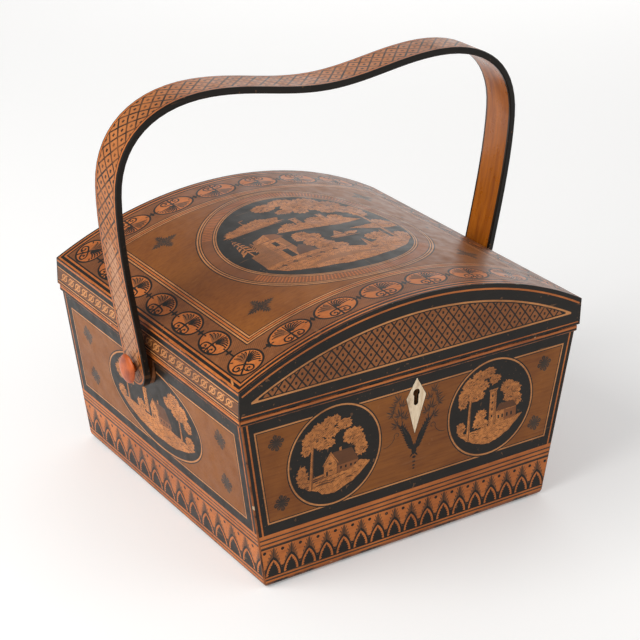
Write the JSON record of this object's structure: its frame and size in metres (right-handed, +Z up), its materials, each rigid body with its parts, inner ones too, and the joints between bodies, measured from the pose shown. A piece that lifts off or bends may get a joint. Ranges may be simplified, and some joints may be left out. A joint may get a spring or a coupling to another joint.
{
  "type": "sewing box",
  "caption": "Tapered wooden sewing box with a hinged arched lid, a swinging bowed carrying handle on turned side pegs and a keyhole, decorated all over in black pen work.",
  "frame": {"origin": "middle of the flat underside", "axes": "+Z up, the front with the keyhole faces -Y, the width and the handle's swing axis run along X"},
  "size_m": [0.2548, 0.2017, 0.2402],
  "materials": {
    "painted_wood": "varnished pen work in black on golden brown wood, worn along the edges",
    "painted_strip": "bent strip, varnished, latticed outside, black edges, plain honey brown inside",
    "bone": "polished bone, slightly yellowed",
    "peg_wood": "turned and polished, orange brown",
    "pad_wood": "stained and varnished",
    "brass": "aged brass"
  },
  "bodies": {
    "box": {"box_body": "painted_wood", "escutcheon": "bone", "handle_pad_left": "pad_wood", "handle_pad_right": "pad_wood", "peg_left": "peg_wood", "peg_right": "peg_wood", "hinge_left_box_leaf": "brass", "hinge_right_box_leaf": "brass", "hinge_left_pin": "brass", "hinge_right_pin": "brass"},
    "lid": {"lid": "painted_wood", "hinge_left_lid_leaf": "brass", "hinge_right_lid_leaf": "brass"},
    "handle": {"handle": "painted_strip"}
  },
  "joints": [
    {"name": "lid_hinge", "type": "hinge", "parent": "box", "child": "lid", "pos_m": [0, 0.101, 0.102], "axis": [-1, 0, 0], "range_deg": [0, 32]},
    {"name": "handle_swing", "type": "hinge", "parent": "box", "child": "handle", "pos_m": [0, 0, 0.0918], "axis": [1, 0, 0], "range_deg": [-98, 98]}
  ]
}
